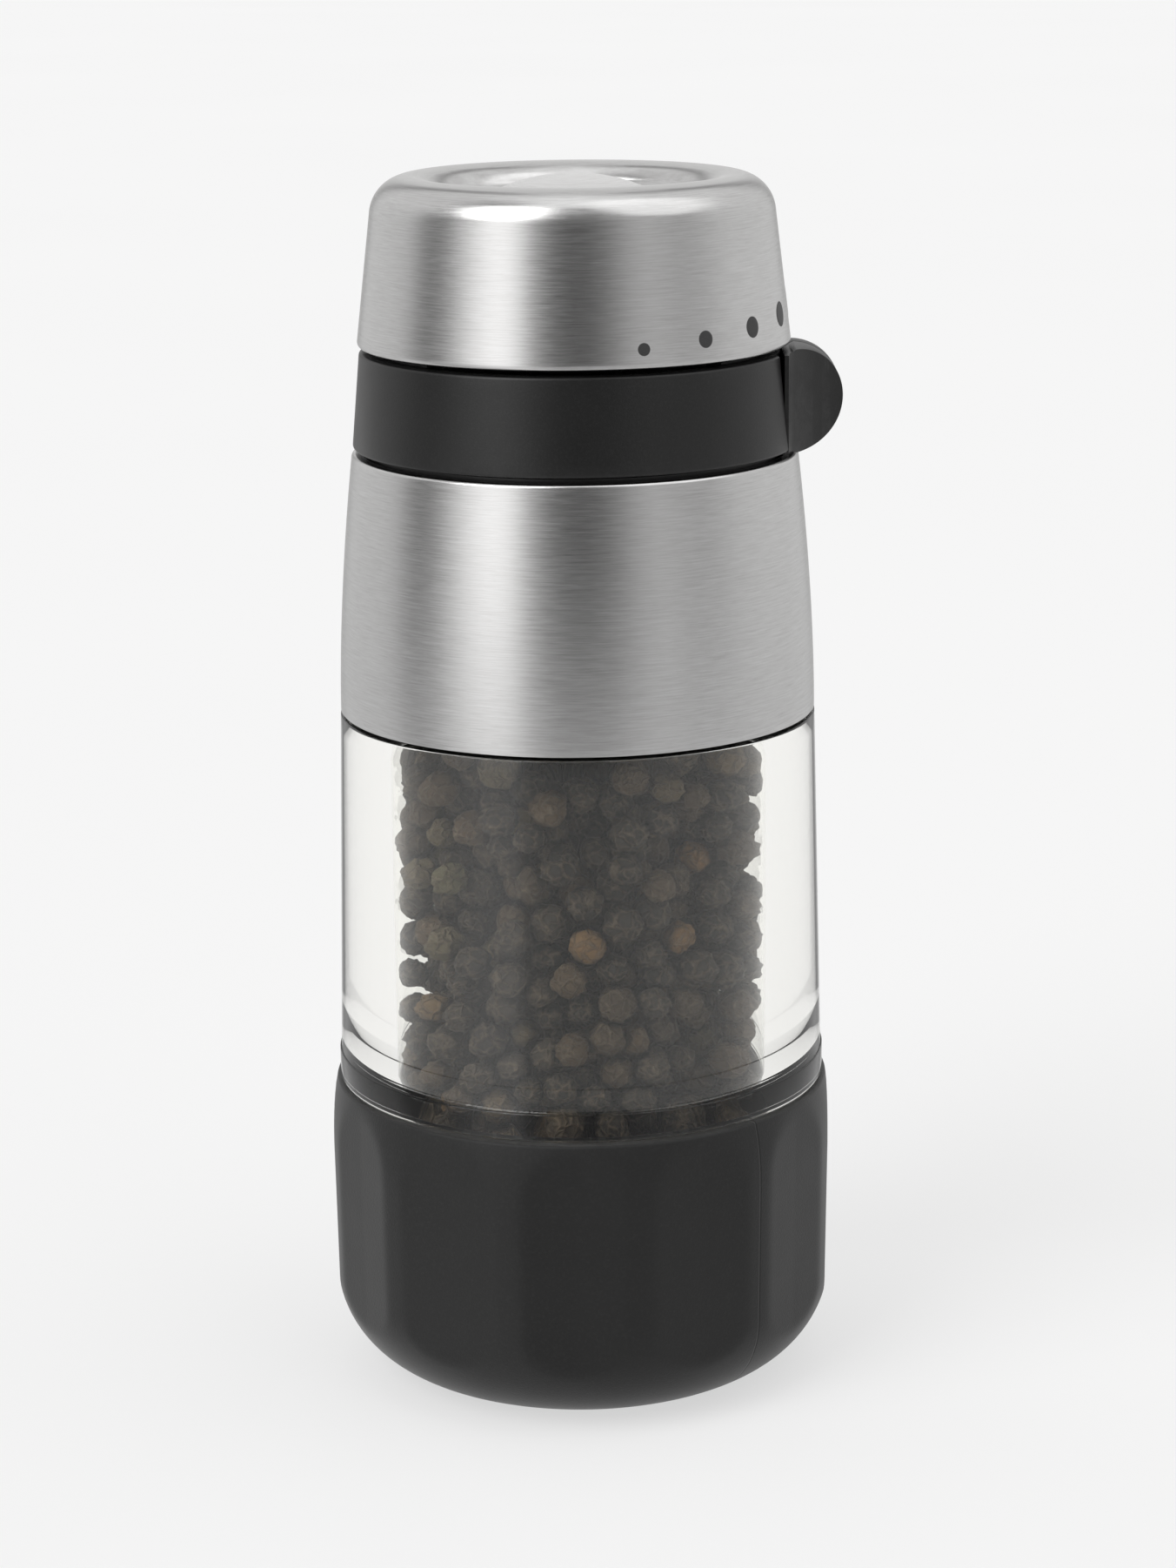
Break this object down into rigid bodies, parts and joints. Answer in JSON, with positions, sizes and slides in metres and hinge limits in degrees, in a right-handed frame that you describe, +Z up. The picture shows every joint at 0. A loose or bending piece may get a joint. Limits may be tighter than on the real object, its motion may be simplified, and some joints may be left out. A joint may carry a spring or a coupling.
{
  "type": "pepper mill",
  "caption": "Inverted hand pepper mill: fluted soft-touch base, clear chamber, brushed steel grinding head with a tabbed grind-size ring and a domed outlet.",
  "frame": {"origin": "centre of the resting face under the base, on the mill's axis", "axes": "+Z up along the mill's axis, +X towards the size ring's tab at the coarsest setting"},
  "size_m": [0.064, 0.0628, 0.15],
  "materials": {
    "soft_grip": "soft-touch matt",
    "black_plastic": "fine matt",
    "foot_rubber": "matt",
    "screw_steel": "bright",
    "clear_acrylic": "clear polished",
    "shaft_steel": "ground",
    "burr_ceramic": "sintered",
    "white_acetal": "smooth",
    "brushed_steel": "brushed round the axis",
    "bush_bronze": "sintered",
    "mark_enamel": "filled enamel",
    "band_black": "satin"
  },
  "bodies": {
    "chamber": {"grip_sleeve": "soft_grip", "base_core": "black_plastic", "foot_pad": "foot_rubber", "base_screws": "screw_steel", "chamber_tube": "clear_acrylic"},
    "drive": {"drive_plug": "black_plastic", "plug_seal": "foot_rubber", "drive_shaft": "shaft_steel", "feed_cone": "black_plastic", "inner_burr": "burr_ceramic", "thrust_washer": "white_acetal", "shaft_clip": "screw_steel"},
    "head": {"steel_collar": "brushed_steel", "head_frame": "black_plastic", "top_cap": "brushed_steel", "cap_core": "black_plastic", "dome": "brushed_steel", "shaft_bush": "bush_bronze", "grind_marks": "mark_enamel", "core_screws": "screw_steel", "click_leaf": "screw_steel"},
    "size_ring": {"adjuster_ring": "black_plastic", "ring_band": "band_black", "thumb_tab": "band_black", "tab_plate": "band_black"},
    "burr_lifter": {"burr_carrier": "black_plastic", "outer_burr": "burr_ceramic", "burr_retainer": "screw_steel"}
  },
  "joints": [
    {"name": "head_lift", "type": "slide", "parent": "chamber", "child": "drive", "axis": [0, 0, 1], "range_m": [0, 0.03]},
    {"name": "grind_turn", "type": "hinge", "parent": "drive", "child": "head", "pos_m": [0, 0, 0.12], "axis": [0, 0, 1], "continuous": true},
    {"name": "grind_size", "type": "hinge", "parent": "head", "child": "size_ring", "pos_m": [0, 0, 0.123], "axis": [0, 0, -1], "range_deg": [0, 72]},
    {"name": "burr_lift", "type": "slide", "parent": "head", "child": "burr_lifter", "axis": [0, 0, 1], "range_m": [0, 0.0012]}
  ],
  "couplings": [
    {"joint": "burr_lift", "follows": "grind_size", "m_per_rad": 0.00095493}
  ]
}
